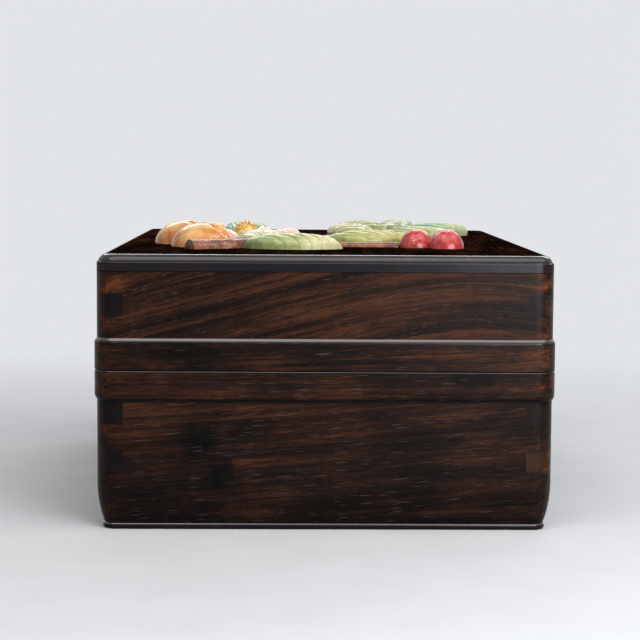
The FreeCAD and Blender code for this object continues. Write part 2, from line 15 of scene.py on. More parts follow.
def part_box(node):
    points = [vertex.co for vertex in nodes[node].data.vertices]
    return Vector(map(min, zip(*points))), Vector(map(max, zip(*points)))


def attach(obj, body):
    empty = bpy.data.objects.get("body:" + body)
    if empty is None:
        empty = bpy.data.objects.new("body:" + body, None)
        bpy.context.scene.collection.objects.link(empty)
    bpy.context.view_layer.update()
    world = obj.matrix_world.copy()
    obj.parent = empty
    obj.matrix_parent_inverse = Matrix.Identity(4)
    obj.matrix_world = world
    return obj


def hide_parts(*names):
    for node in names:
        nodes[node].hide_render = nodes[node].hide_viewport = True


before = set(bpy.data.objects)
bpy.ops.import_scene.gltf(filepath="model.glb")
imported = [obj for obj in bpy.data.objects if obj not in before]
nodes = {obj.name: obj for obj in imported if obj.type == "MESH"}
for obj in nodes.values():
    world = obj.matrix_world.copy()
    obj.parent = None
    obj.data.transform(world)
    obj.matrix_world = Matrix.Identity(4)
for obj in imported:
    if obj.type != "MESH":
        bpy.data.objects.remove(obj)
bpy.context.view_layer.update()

MM = 0.001

# %% [markdown]
# ## The camera
# The box is seen from the front and a little above, with a long lens about half a metre
# away. Its pitch, turn and roll are written as plain angles: a camera looks down its own
# -Z axis, so it is first tipped up by 90 degrees to look along +Y, and the three small
# angles are then added to that.

# %% Place the camera
SENSOR_WIDTH, LENS = 36.0, 103.7
CAMERA_PLACE = (-9.6 * MM, -564.7 * MM, 97.8 * MM)
PITCH_DOWN, TURN_RIGHT, ROLL = 5.04, 0.97, 0.375

camera_data = bpy.data.cameras.new("camera")
camera_data.sensor_width = SENSOR_WIDTH
camera_data.lens = LENS
camera = bpy.data.objects.new("camera", camera_data)
bpy.context.scene.collection.objects.link(camera)
bpy.context.scene.camera = camera

camera.location = CAMERA_PLACE
turn = Matrix.Rotation(math.radians(-TURN_RIGHT), 3, "Z")
tip = Matrix.Rotation(math.radians(90 - PITCH_DOWN), 3, "X")
roll = Matrix.Rotation(math.radians(ROLL), 3, "Z")
camera.rotation_euler = (turn @ tip @ roll).to_euler()
print("camera at", [round(value, 3) for value in camera.location])

# %% [markdown]
# ## Paper floor
# A sheet of pale studio paper lies under the box and curves up behind it. It is far larger
# than the picture needs, so that no view shows its sides. It starts as a plane whose back
# edge is extruded upwards, and the fold is bevelled into a wide curve. A selection decides
# what an operator acts on, so everything is deselected first, and the edges are then
# picked in code by their place.

# %% Helpers for selecting and editing
def select_only(*objects):
    """Leaves edit mode and selects just these objects, the first one active."""
    if bpy.context.object and bpy.context.object.mode != "OBJECT":
        bpy.ops.object.mode_set(mode="OBJECT")
    bpy.ops.object.select_all(action="DESELECT")
    for thing in objects:
        thing.select_set(True)
    bpy.context.view_layer.objects.active = objects[0] if objects else None


def pick(kind, test):
    """In edit mode, selects the vertices, edges or faces whose middle passes the test."""
    bpy.ops.mesh.select_mode(type=kind)
    bpy.ops.mesh.select_all(action="DESELECT")
    bpy.ops.object.mode_set(mode="OBJECT")
    mesh = bpy.context.object.data
    points = [vertex.co for vertex in mesh.vertices]
    parts = {"VERT": mesh.vertices, "EDGE": mesh.edges, "FACE": mesh.polygons}[kind]
    for part in parts:
        corners = [part.index] if kind == "VERT" else part.vertices
        middle = sum((points[corner] for corner in corners), Vector()) / len(corners)
        part.select = bool(test(middle))
    bpy.ops.object.mode_set(mode="EDIT")


print("helpers ready")

# %% Paper floor with its curved back
PAPER_SIZE, PAPER_RISE, FOLD = 16.0, 2.6, 0.9
NEAR_BACK = 0.49 * PAPER_SIZE

select_only()
bpy.ops.mesh.primitive_plane_add(size=1.0, location=(0, 0, 0))
paper = bpy.context.object
paper.name = "paper_floor"
bpy.ops.object.mode_set(mode="EDIT")
bpy.ops.transform.resize(value=(PAPER_SIZE, PAPER_SIZE, 1.0))
pick("EDGE", lambda middle: middle.y > NEAR_BACK)
bpy.ops.mesh.extrude_region_move(TRANSFORM_OT_translate={"value": (0, 0, PAPER_RISE)})
pick("EDGE", lambda middle: middle.y > NEAR_BACK and middle.z < 0.01)
bpy.ops.mesh.bevel(offset=FOLD, segments=16, affect="EDGES")
bpy.ops.object.mode_set(mode="OBJECT")
bpy.ops.object.shade_smooth()
print("paper floor:", len(paper.data.polygons), "faces")

# %% [markdown]
# ## Writing a material in code
# A shader is a tree of nodes. One small helper adds a node and fills its sockets, either
# with a plain value or with a link from another node, so that a finish reads as a list of
# steps. Colours are written as they look on a screen, from 0 to 255, and turned into the
# linear values that the shader works with.

# %% Helpers for materials
def paint(red, green, blue):
    """A screen colour as the linear colour that a shader takes."""
    def linear(value):
        share = value / 255
        return share / 12.92 if share <= 0.04045 else ((share + 0.055) / 1.055) ** 2.4
    return (linear(red), linear(green), linear(blue), 1.0)


def new_material(name):
    material = bpy.data.materials.new(name)
    material.use_nodes = True
    material.node_tree.nodes.clear()
    return material


def add_node(material, kind, sockets=None, **settings):
    """Adds a node, sets it up, and fills its inputs with values or with links."""
    tree = material.node_tree
    made = tree.nodes.new(f"ShaderNode{kind}")
    for setting, value in settings.items():
        setattr(made, setting, value)
    for socket, value in (sockets or {}).items():
        if isinstance(value, bpy.types.NodeSocket):
            tree.links.new(value, made.inputs[socket])
        else:
            made.inputs[socket].default_value = value
    return made


def finish_material(material, shader):
    add_node(material, "OutputMaterial", {"Surface": shader})


print("paint(40, 24, 20) is", [round(value, 4) for value in paint(40, 24, 20)[:3]])

# %% Sums, blends and ramps
def maths(material, operation, *values):
    return add_node(material, "Math", dict(enumerate(values)), operation=operation).outputs[0]


def vector_maths(material, operation, *values):
    made = add_node(material, "VectorMath", dict(enumerate(values)), operation=operation)
    return made.outputs["Value" if operation in ("LENGTH", "DOT_PRODUCT") else "Vector"]


def ease(material, value, low, high, at_low=0.0, at_high=1.0):
    """Passes smoothly from one amount to another as a value goes from low to high."""
    sockets = {"Value": value, "From Min": low, "From Max": high, "To Min": at_low, "To Max": at_high}
    return add_node(material, "MapRange", sockets, interpolation_type="SMOOTHSTEP").outputs[0]


def colour_ramp(material, factor, stops):
    """A ramp through stops, each a place from 0 to 1 and a colour."""
    made = add_node(material, "ValToRGB", {"Fac": factor})
    elements = made.color_ramp.elements
    while len(elements) < len(stops):
        elements.new(0.5)
    for element, (place, colour) in zip(elements, stops):
        element.position = place
        element.color = colour
    return made.outputs["Color"]


def blend_colours(material, factor, first, second, blend_type="MIX"):
    """Blends two colours. The colour sockets of a Mix node are its inputs 6 and 7."""
    sockets = {0: factor, 6: first, 7: second}
    return add_node(material, "Mix", sockets, data_type="RGBA", blend_type=blend_type).outputs[2]


print("sums and blends ready")

# %% Places in millimetres, and noise
def in_millimetres(material, coordinates):
    """Object coordinates, turned from metres into millimetres."""
    sockets = {0: coordinates.outputs["Object"], "Scale": 1 / MM}
    return add_node(material, "VectorMath", sockets, operation="SCALE").outputs[0]


def noise(material, place, size, detail=2.0, roughness=0.5, output="Fac"):
    """Noise whose features are about this big, in millimetres, along and across the grain."""
    scaled = vector_maths(material, "MULTIPLY", place, [1 / length for length in size])
    sockets = {"Vector": scaled, "Scale": 1.0, "Detail": detail, "Roughness": roughness}
    return add_node(material, "TexNoise", sockets).outputs[output]


print("one metre is", round(1 / MM), "mm")

# %% [markdown]
# ## The paper's finish and the room
# Near the box the paper is a matt surface that catches light and shadow. A little farther
# off it glows evenly, and the world behind it has the same pale tone, so that every view
# ends in one plain colour. A Light Path node keeps that glow for the camera and for clear
# reflections. It lights nothing: that is left to the softboxes and a weak, even room light.

# %% Paper finish, and a plain pale world
PALE_ROOM, PAPER_TONES = (226, 228, 231), ((0.3, (210, 212, 214)), (0.7, (214, 216, 218)))
GLOW_STARTS, GLOW_FULL, ROOM_STRENGTH = 0.14, 0.40, 0.17


def seen_directly(material):
    """1 for the rays of the camera and of clear reflections, 0 for those that carry light."""
    rays = add_node(material, "LightPath")
    seen = maths(material, "MAXIMUM", rays.outputs["Is Camera Ray"], rays.outputs["Is Glossy Ray"])
    return maths(material, "MAXIMUM", seen, rays.outputs["Is Transmission Ray"])


paper_look = new_material("pale_paper")
tooth = add_node(paper_look, "TexNoise", {"Scale": 900.0, "Detail": 2.0}).outputs["Fac"]
paper_tone = colour_ramp(paper_look, tooth, [(at, paint(*tone)) for at, tone in PAPER_TONES])
matt = add_node(paper_look, "BsdfPrincipled", {"Base Color": paper_tone, "Roughness": 0.85})
matt.inputs["Specular IOR Level"].default_value = 0.1
glowing = add_node(paper_look, "Emission", {"Color": paint(*PALE_ROOM), "Strength": 1.0})
distance = vector_maths(paper_look, "LENGTH", add_node(paper_look, "TexCoord").outputs["Object"])
far = ease(paper_look, distance, GLOW_STARTS, GLOW_FULL)
glow = maths(paper_look, "MULTIPLY", seen_directly(paper_look), far)
paper_sockets = {0: glow, 1: matt.outputs["BSDF"], 2: glowing.outputs[0]}
finish_material(paper_look, add_node(paper_look, "MixShader", paper_sockets).outputs[0])
paper.data.materials.append(paper_look)

world = bpy.data.worlds.new("studio")
bpy.context.scene.world = world
world.use_nodes = True
world.node_tree.nodes.clear()
room_light = add_node(world, "Background", {"Color": (0.96, 0.98, 1.0, 1.0), "Strength": ROOM_STRENGTH})
pale_room = add_node(world, "Background", {"Color": paint(*PALE_ROOM), "Strength": 1.0})
room_sockets = {0: seen_directly(world), 1: room_light.outputs[0], 2: pale_room.outputs[0]}
add_node(world, "OutputWorld", {"Surface": add_node(world, "MixShader", room_sockets).outputs[0]})
bpy.context.scene.view_settings.view_transform = "Standard"
print("paper and world ready")

# %% [markdown]
# ## Softboxes
# Dark polished wood shows its shape mostly by what it reflects, so the lamps are large, soft
# rectangles. A broad one hangs overhead, a small cool one stands low at the front right and
# gives the front its sheen, and a strip behind the box draws a bright line along its edges.

# %% Three softboxes
def softbox(name, place, aim, size, power, tint):
    """A rectangular area light at a place, turned to face a point."""
    data = bpy.data.lights.new(name, "AREA")
    data.shape = "RECTANGLE"
    data.size, data.size_y = size
    data.energy = power
    data.color = tint
    lamp = bpy.data.objects.new(name, data)
    bpy.context.scene.collection.objects.link(lamp)
    lamp.location = place
    lamp.rotation_euler = (Vector(aim) - Vector(place)).to_track_quat("-Z", "Y").to_euler()


softbox(
    "overhead", place=(0.06, -0.27, 0.56), aim=(0.01, -0.08, 0.05),
    size=(1.0, 0.42), power=3.3, tint=(1.0, 0.93, 0.91),
)
softbox(
    "front_right", place=(0.20, -0.42, 0.13), aim=(0.05, -0.09, 0.05),
    size=(0.28, 0.22), power=1.7, tint=(0.88, 0.93, 1.0),
)
softbox(
    "back_strip", place=(0.05, 0.45, 0.40), aim=(0, 0, 0.07),
    size=(0.70, 0.10), power=1.6, tint=(0.92, 0.96, 1.0),
)

# %% [markdown]
# ## Rosewood
# The boards are solid wood, so the pattern is worked out in space and not painted on: it
# runs through each board, and an end shows end grain where the grain comes out. Along the
# grain everything is stretched into streaks. Across it lie broad brown and near-black
# bands, finer lines, and hair-thin fibres. On a flat-sawn board the bands climb, arch over
# and fall again, which a hyperbola gives: a slope far from its apex and a round top at it.
# The pores of this wood show as short pale dashes, made from the points of a Voronoi
# pattern that is stretched along the grain as well.

# %% Where a point lies in the log
# the axes that run along the grain, up the board's face and into the wood
GRAIN_AXES = {"x": ("X", "Z", "Y"), "y": ("Y", "Z", "X"), "flat": ("Y", "X", "Z")}
# how far the grain wanders, and how far apart in the log two boards with seeds 0 and 1 are
WANDER, SEED_STEP = 1.0, (137.0, 61.0, 29.0)


def grain_place(material, millimetres, grain, seed, apex, slope, apex_width):
    """Where a point lies in the log, and apart from that how far along and up the board."""
    split = add_node(material, "SeparateXYZ", {0: millimetres})
    along, up, deep = (split.outputs[axis] for axis in GRAIN_AXES[grain])
    from_apex = maths(material, "SUBTRACT", along, apex)
    squared = maths(material, "MULTIPLY", from_apex, from_apex)
    reach = maths(material, "SQRT", maths(material, "ADD", squared, apex_width ** 2))
    arched = maths(material, "MULTIPLY_ADD", reach, slope, up)
    place = add_node(material, "CombineXYZ", {0: along, 1: arched, 2: deep}).outputs[0]
    place = vector_maths(material, "ADD", place, [seed * step for step in SEED_STEP])
    drift = noise(material, place, (70.0, 16.0, 16.0), output="Color")
    widened, centred = (0, 2 * WANDER, 2 * WANDER), (0, -WANDER, -WANDER)
    shift = vector_maths(material, "MULTIPLY_ADD", drift, widened, centred)
    return vector_maths(material, "ADD", place, shift), along, up


print("grain runs", len(GRAIN_AXES), "ways")

# %% Figure, end grain and pores
ROSEWOOD_TONES = ((0.42, (11, 6, 4)), (0.472, (23, 12, 8)), (0.522, (38, 20, 12)), (0.595, (67, 37, 20)))
# the room across the grain that each pore has, and how much of it the widest and the
# narrowest pore fill
PORE_WIDTH, WIDEST, NARROWEST = 0.27, 0.33, 0.07


def wood_figure(material, place, band, band_share, lift):
    """The figure, from dark veins to warm wood, and apart from it its lines and its fibres."""
    bands = noise(material, place, (110.0, band, band), roughness=0.55)
    clouds = noise(material, place, (24.0, 9.0, 9.0))
    lines = noise(material, place, (48.0, 0.9, 0.9), detail=3.0, roughness=0.65)
    flecks = noise(material, place, (1.8, 0.6, 0.6), roughness=0.6)
    fibres = noise(material, place, (5.0, 0.34, 0.34), detail=1.0)
    figure = maths(material, "MULTIPLY", bands, band_share)
    for part, share in ((clouds, 0.50 - band_share), (lines, 0.25), (flecks, 0.10), (fibres, 0.15)):
        figure = maths(material, "MULTIPLY_ADD", part, share, figure)
    return maths(material, "ADD", figure, lift), lines, fibres


def facing_grain(material, normal, grain):
    """How squarely a surface faces along the grain, where it shows the ends of the fibres."""
    grain_way = (1.0, 0.0, 0.0) if grain == "x" else (0.0, 1.0, 0.0)
    facing = vector_maths(material, "DOT_PRODUCT", normal, grain_way)
    return ease(material, maths(material, "ABSOLUTE", facing), 0.72, 0.95)


def pore_dashes(material, place, amount, length):
    """Short dashes of different lengths, and how pale each of them is."""
    scaled = vector_maths(material, "MULTIPLY", place, (1 / length, 1 / PORE_WIDTH, 1 / PORE_WIDTH))
    cells = add_node(material, "TexVoronoi", {"Vector": scaled, "Scale": 1.0})
    chance = add_node(material, "SeparateColor", {0: cells.outputs["Color"]})
    size = maths(material, "MULTIPLY_ADD", chance.outputs[0], WIDEST - NARROWEST, NARROWEST)
    from_middle = maths(material, "DIVIDE", cells.outputs["Distance"], size)
    dash = ease(material, from_middle, 0.5, 1.1, 1.0, 0.0)
    present = maths(material, "LESS_THAN", chance.outputs[1], amount)
    return maths(material, "MULTIPLY", dash, present), chance.outputs[2]


print(len(ROSEWOOD_TONES), "tones of rosewood")

# %% [markdown]
# ### Patches, creases and burnish
# A board has its own story on top of its grain. Small knots and warm spots are patches that
# multiply the colour, with an edge that noise makes ragged. Other patches are painted light on
# the right ends of some boards and painted shade on their left ends. Painted shade also darkens
# the creases below the base's rim, along the mouth and above the foot. Handling burnishes the
# eased edges, so the clear coat is strongest where the surface leans upwards.

# %% Steps for patches, creases and burnish
# the colour of the painted shade in the creases, and how ragged a patch's edge is
CREASE_SHADE_TONE, RAGGED = (3, 3, 4), 1.5
# the lean at which the coat starts, that at which it is full, and what a level place adds
COAT_ON_EDGES, COAT_ON_TOP = (0.15, 0.55, -0.75), (-0.3, 0.5, -1.0)


def tint_patches(material, colour, along, up, patches):
    """Tints the wood in patches. Each is its place along and up, its half length and half
    height, its strength, and the tint that multiplies the colour there."""
    face_place = add_node(material, "CombineXYZ", {0: along, 1: up}).outputs[0]
    ragged = noise(material, face_place, (4.0, 3.0, 3.0), detail=3.0, roughness=0.7, output="Color")
    ragged = vector_maths(material, "SUBTRACT", ragged, (0.5, 0.5, 0.5))
    for centre, height, half_length, half_height, strength, tint in patches:
        offset = vector_maths(material, "SUBTRACT", face_place, (centre, height, 0.0))
        share = vector_maths(material, "MULTIPLY", offset, (1 / half_length, 1 / half_height, 0.0))
        share = vector_maths(material, "MULTIPLY_ADD", ragged, (RAGGED, RAGGED, 0.0), share)
        amount = ease(material, vector_maths(material, "LENGTH", share), 0.3, 1.1, strength, 0.0)
        colour = blend_colours(material, amount, colour, (*tint, 1.0), "MULTIPLY")
    return colour


def paint_crease_shade(material, colour, up, creases):
    """Paints shade on the wood along level creases. Each is its height, its reach and its strength."""
    for height, reach, strength in creases:
        off_crease = maths(material, "ABSOLUTE", maths(material, "SUBTRACT", up, height))
        amount = ease(material, off_crease, 0.3 * reach, reach, strength, 0.0)
        colour = blend_colours(material, amount, colour, paint(*CREASE_SHADE_TONE))
    return colour


def burnished_coat(material, normal, flat_top):
    """How strong and how hazy the clear coat is, and how level the surface lies. The coat
    grows where the surface leans upwards and fades again where it is level."""
    upwards = add_node(material, "SeparateXYZ", {0: normal}).outputs["Z"]
    haze = ease(material, upwards, 0.0, 0.4, 0.22, 0.16)
    level = ease(material, upwards, 0.97, 0.999)
    low, high, dulling = COAT_ON_TOP if flat_top else COAT_ON_EDGES
    weight = maths(material, "MULTIPLY_ADD", level, dulling, ease(material, upwards, low, high))
    return weight, haze, level


print("steps ready")

# %% The recipe for rosewood
PORE_TONE, PORE_SHARE, PORE_DEPTH = (80, 66, 62), 0.85, 0.04 * MM
SAWN_SHARE, FEWER_ON_ENDS = 0.85, 0.8


def rosewood(name, grain, seed, apex=200.0, slope=0.04, apex_width=25.0, band=4.0, band_share=0.22,
             pores=0.8, pore_length=7.5, lift=0.0, patches=(), creases=(), end_tone=(16, 15, 20),
             flat_top=False):
    """Polished rosewood; lengths are in millimetres, and grain names the way that it runs."""
    material = new_material(name)
    coordinates = add_node(material, "TexCoord")
    normal = coordinates.outputs["Normal"]
    millimetres = in_millimetres(material, coordinates)
    place, along, up = grain_place(material, millimetres, grain, seed, apex, slope, apex_width)
    figure, lines, fibres = wood_figure(material, place, band, band_share, lift)
    colour = colour_ramp(material, figure, [(at, paint(*tone)) for at, tone in ROSEWOOD_TONES])

    end_grain = facing_grain(material, normal, grain)
    sawn = blend_colours(material, SAWN_SHARE, colour, paint(*end_tone))
    colour = blend_colours(material, end_grain, colour, sawn)

    if patches:
        colour = tint_patches(material, colour, along, up, patches)
    colour = paint_crease_shade(material, colour, up, creases)

    dash, paleness = pore_dashes(material, place, pores, pore_length)
    off_ends = maths(material, "MULTIPLY_ADD", end_grain, -FEWER_ON_ENDS, 1.0)
    dash = maths(material, "MULTIPLY", dash, off_ends)
    shown = maths(material, "MULTIPLY", dash, maths(material, "MULTIPLY", paleness, PORE_SHARE))
    colour = blend_colours(material, shown, colour, paint(*PORE_TONE))

    # how rough and how deep the surface is, and the coat on top of it
    polish = maths(material, "MULTIPLY_ADD", lines, 0.12, 0.24)
    polish = maths(material, "MULTIPLY_ADD", dash, 0.25, polish)
    relief = maths(material, "MULTIPLY_ADD", dash, -1.0, maths(material, "MULTIPLY", fibres, 0.25))
    bump = add_node(material, "Bump", {"Height": relief, "Distance": PORE_DEPTH, "Strength": 0.5})
    burnish, haze, level = burnished_coat(material, normal, flat_top)
    if flat_top:
        polish = maths(material, "MULTIPLY_ADD", level, 0.30, polish)
    shader = add_node(
        material, "BsdfPrincipled",
        {"Base Color": colour, "Roughness": polish, "Normal": bump.outputs[0],
         "Coat Weight": burnish, "Coat Roughness": haze},
    )
    shader.inputs["Specular IOR Level"].default_value = 0.0 if flat_top else 0.08
    shader.inputs["Coat IOR"].default_value = 1.5 if flat_top else 1.75
    finish_material(material, shader.outputs["BSDF"])
    return material


print("recipe ready")

# %% [markdown]
# ### Dressing the boards
# A maker cuts each board from another part of the log, so each gets its own seed and its own
# figure. The lid's front is flat-sawn, with one broad arch. The base's front is nearly
# straight-grained, with small dark knots. Boards that end at a corner show their end grain
# on the fingers of the joint, some darker and some browner.

# %% Tints, patches and creases of the boards
# KNOT darkens a knot and AMBER warms the wood, and on the rims' right ends the amber is painted light;
# the third tint is painted shade for the left ends of boards, where less light falls
KNOT, AMBER, PAINTED_SHADE = (0.12, 0.20, 0.32), (2.7, 2.2, 1.5), (0.55, 0.55, 0.65)
PALE_PIN, DARK_END, BROWN_END = (4.5, 3.2, 1.8), (9, 8, 11), (21, 15, 14)
# each painted crease shade is its height, its reach and its strength; two of them lie at the base's rim
rim_heights = [vertex.co.z / MM for vertex in nodes["base_rim_front"].data.vertices]
# painted shade just under the base's rim, and a nearly black painted shade where the two mouths meet
UNDER_RIM_SHADE = (round(min(rim_heights), 2), 0.9, 0.85)
MOUTH_SHADE = (round(max(rim_heights), 2), 0.5, 0.9)
# the base's boards get painted shade above the foot and just under the rim
BASE_BOARD_SHADES = ((1.6, 3.4, 0.8), UNDER_RIM_SHADE)
LID_PORES = 2.8
base_front_patches = (
    (-33.0, 23.5, 7.0, 6.2, 1.0, KNOT), (-27.5, 15.0, 4.6, 6.2, 1.0, KNOT),
    (-20.0, 26.0, 6.0, 4.0, 0.6, KNOT), (-31.0, 6.0, 6.0, 3.0, 0.6, KNOT),
    # the last patch below is painted shade over the board's left end
    (60.0, 9.5, 3.0, 3.0, 0.6, AMBER), (-46.0, 14.0, 30.0, 24.0, 0.8, PAINTED_SHADE),
)
lid_front_patches = (
    (-56.5, 65.5, 5.5, 3.6, 0.9, AMBER), (57.0, 65.5, 5.0, 3.4, 0.8, AMBER),
    (57.5, 53.5, 4.0, 4.0, 0.8, AMBER),
)
pin_patches = ((-86.0, 18.6, 8.0, 4.5, 0.8, PALE_PIN),)


def dress(name, material):
    """Gives a CAD node a material in its own slots."""
    slots = nodes[name].material_slots
    if not slots:
        nodes[name].data.materials.append(material)
    for slot in slots:
        slot.material = material


print(len(base_front_patches), "patches on the base's front and", len(lid_front_patches), "on the lid's")

# %% Boards of the base and the lid
BOARDS = {
    "base_front": dict(
        grain="x", seed=1.0, apex=120.0, slope=0.08, patches=base_front_patches, creases=BASE_BOARD_SHADES,
    ),
    "base_back": dict(grain="x", seed=2.0, creases=BASE_BOARD_SHADES),
    "base_right": dict(grain="y", seed=3.0, patches=pin_patches, creases=BASE_BOARD_SHADES, end_tone=BROWN_END),
    "base_left": dict(grain="y", seed=4.0, creases=BASE_BOARD_SHADES, end_tone=DARK_END),
    "lid_front": dict(
        grain="x", seed=5.0, apex=41.0, slope=0.27, apex_width=24.0, band=2.6, band_share=0.36,
        pore_length=LID_PORES, patches=lid_front_patches,
    ),
    "lid_back": dict(grain="x", seed=6.0, apex=-20.0, slope=0.2, band_share=0.36, pore_length=LID_PORES),
    "lid_right": dict(grain="y", seed=7.0, apex=-30.0, slope=0.12, pore_length=LID_PORES),
    "lid_left": dict(grain="y", seed=8.0, pore_length=LID_PORES, end_tone=DARK_END),
}
for board, recipe in BOARDS.items():
    dress(f"{board}_board", rosewood(f"{board}_wood", **recipe))
print(len(BOARDS), "boards dressed")

# %% [markdown]
# ### Rims, linings, top, bottom and divider
# The rims are thin strips with a straighter, finer grain, and painted shade makes the crease
# where the two mouths meet nearly black. The top board is the darkest piece: its flat is left
# dull, so that the stones stand out, and only its rounded edge shines. The pieces inside are plain.

# %% The other pieces of wood
# on the lid's rim the amber patch at the right end is painted light, and the last patch is painted shade
# over the left
lid_rim_patches = (
    (-32.0, 46.0, 16.0, 6.0, 0.8, KNOT), (56.0, 47.0, 9.0, 4.0, 0.7, AMBER),
    (-57.0, 46.0, 9.0, 4.0, 0.35, AMBER), (-24.0, 46.0, 44.0, 12.0, 0.7, PAINTED_SHADE),
)
# on the base's rim the second patch, amber at the right end, is painted light, and the last patch is
# painted shade over the left
base_rim_patches = (
    (12.0, 35.2, 46.0, 1.2, 0.6, AMBER), (52.0, 38.5, 11.0, 5.0, 0.8, AMBER),
    (-48.0, 38.0, 22.0, 9.0, 0.8, PAINTED_SHADE),
)
for number, side in enumerate(("front", "right", "back", "left")):
    grain = "x" if side in ("front", "back") else "y"
    lid_wood = rosewood(
        f"lid_rim_{side}_wood", grain, 15.0 + number, band=2.4,
        patches=lid_rim_patches if side == "front" else (), creases=(MOUTH_SHADE,),
    )
    base_wood = rosewood(
        f"base_rim_{side}_wood", grain, 10.0 + number, slope=0.015, band=1.6,
        patches=base_rim_patches if side == "front" else (), creases=(MOUTH_SHADE, UNDER_RIM_SHADE),
    )
    dress(f"lid_rim_{side}", lid_wood)
    dress(f"base_rim_{side}", base_wood)
    dress(f"base_lining_{side}", rosewood(f"lining_{side}_wood", grain, 20.0 + number, lift=0.02))
dress("lid_top_board", rosewood("top_wood", "flat", 30.0, pores=0.55, lift=-0.03, flat_top=True))
dress("base_bottom_board", rosewood("bottom_wood", "flat", 31.0))
dress("base_divider", rosewood("divider_wood", "x", 32.0, lift=0.02))
print("all the wood is dressed")

# %% [markdown]
# ## Polished stone
# Stone is cloudy inside, with darker mottling and a few thin pale threads. Leaves are cut
# so that the colour changes along them, as from green at the foot to cream at the tip, and
# their veins are a little darker: the blank's own UV map says where a point of the leaf
# lies. Light enters a little below the surface, which a weak subsurface share gives.

# %% Tones and veins of a stone
LEAF_LENGTH, VEIN_FIRST, VEIN_STEP, VEIN_LEAN = 28.0 * MM, 3.5 * MM, 4.2 * MM, math.radians(38)
THREAD, THREAD_SHARE, VEIN_TINT = (236, 230, 205), 0.22, (0.42, 0.50, 0.42, 1.0)
# where on their ramps the tones begin and the span that they cover, and how much of a
# leaf's colour is the one that changes from foot to tip
CLOUD_SPAN, LEAF_SPAN, LEAF_SHARE = (0.34, 0.32), (0.225, 0.675), 0.65


def spread_stops(tones, first, span):
    """Tones as the stops of a ramp, evenly spaced over a span."""
    return [(first + span * index / (len(tones) - 1), paint(*tone)) for index, tone in enumerate(tones)]


def vein_lines(material, leaf_place):
    """How close a point of a leaf is to its midrib or a side vein, from the blank's UV map."""
    length = LEAF_LENGTH / MM
    x = maths(material, "MULTIPLY", leaf_place.outputs["X"], length)
    y = maths(material, "MULTIPLY_ADD", leaf_place.outputs["Y"], length, -length / 2)
    off_midrib = maths(material, "ABSOLUTE", y)
    vein_foot = maths(material, "MULTIPLY_ADD", off_midrib, -1 / math.tan(VEIN_LEAN), x)
    count = maths(material, "MULTIPLY_ADD", vein_foot, MM / VEIN_STEP, 0.5 - VEIN_FIRST / VEIN_STEP)
    between = maths(material, "SUBTRACT", maths(material, "FRACT", count), 0.5)
    side_veins = ease(material, maths(material, "ABSOLUTE", between), 0.0, 0.10, 0.55, 0.0)
    return maths(material, "MAXIMUM", side_veins, ease(material, off_midrib, 0.0, 0.55, 0.8, 0.0))


print("a leaf's first side vein starts", round(VEIN_FIRST / MM, 1), "mm from its foot")

# %% The recipe for stone
def stone(name, tones, feature=5.0, foot_to_tip=None):
    """Polished cloudy stone. Its tones run from its darkest clouds to its palest."""
    material = new_material(name)
    coordinates = add_node(material, "TexCoord")
    millimetres = in_millimetres(material, coordinates)
    clouds = noise(material, millimetres, (feature,) * 3, detail=4.0, roughness=0.6)
    colour = colour_ramp(material, clouds, spread_stops(tones, *CLOUD_SPAN))
    if foot_to_tip:
        leaf_place = add_node(material, "SeparateXYZ", {0: coordinates.outputs["UV"]})
        ragged = maths(material, "MULTIPLY_ADD", clouds, 0.5, leaf_place.outputs["X"])
        factor = maths(material, "MULTIPLY", ragged, 0.75)
        drift = colour_ramp(material, factor, spread_stops(foot_to_tip, *LEAF_SPAN))
        colour = blend_colours(material, LEAF_SHARE, colour, drift)
    threads = noise(material, millimetres, (feature * 1.7,) * 3, detail=3.0, roughness=0.55)
    off_thread = maths(material, "ABSOLUTE", maths(material, "SUBTRACT", threads, 0.5))
    thread = ease(material, off_thread, 0.0, 0.014, THREAD_SHARE, 0.0)
    colour = blend_colours(material, thread, colour, paint(*THREAD))
    if foot_to_tip:
        veins = vein_lines(material, leaf_place)
        colour = blend_colours(material, veins, colour, VEIN_TINT, "MULTIPLY")
    grains = noise(material, millimetres, (0.5, 0.5, 0.5))
    speckle = ease(material, grains, 0.62, 0.72, 0.0, 0.3)
    colour = blend_colours(material, speckle, colour, paint(*tones[0]))
    polish = maths(material, "MULTIPLY_ADD", clouds, 0.16, 0.14)
    bump = add_node(material, "Bump", {"Height": grains, "Distance": 0.04 * MM, "Strength": 0.4})
    shader = add_node(
        material, "BsdfPrincipled",
        {"Base Color": colour, "Roughness": polish, "Normal": bump.outputs[0]},
    )
    shader.inputs["Subsurface Weight"].default_value = 0.25
    shader.inputs["Subsurface Radius"].default_value = (1.0, 0.8, 0.5)
    shader.inputs["Subsurface Scale"].default_value = 1.5 * MM
    shader.inputs["Specular IOR Level"].default_value = 0.45
    finish_material(material, shader.outputs["BSDF"])
    return material


print("recipe ready")

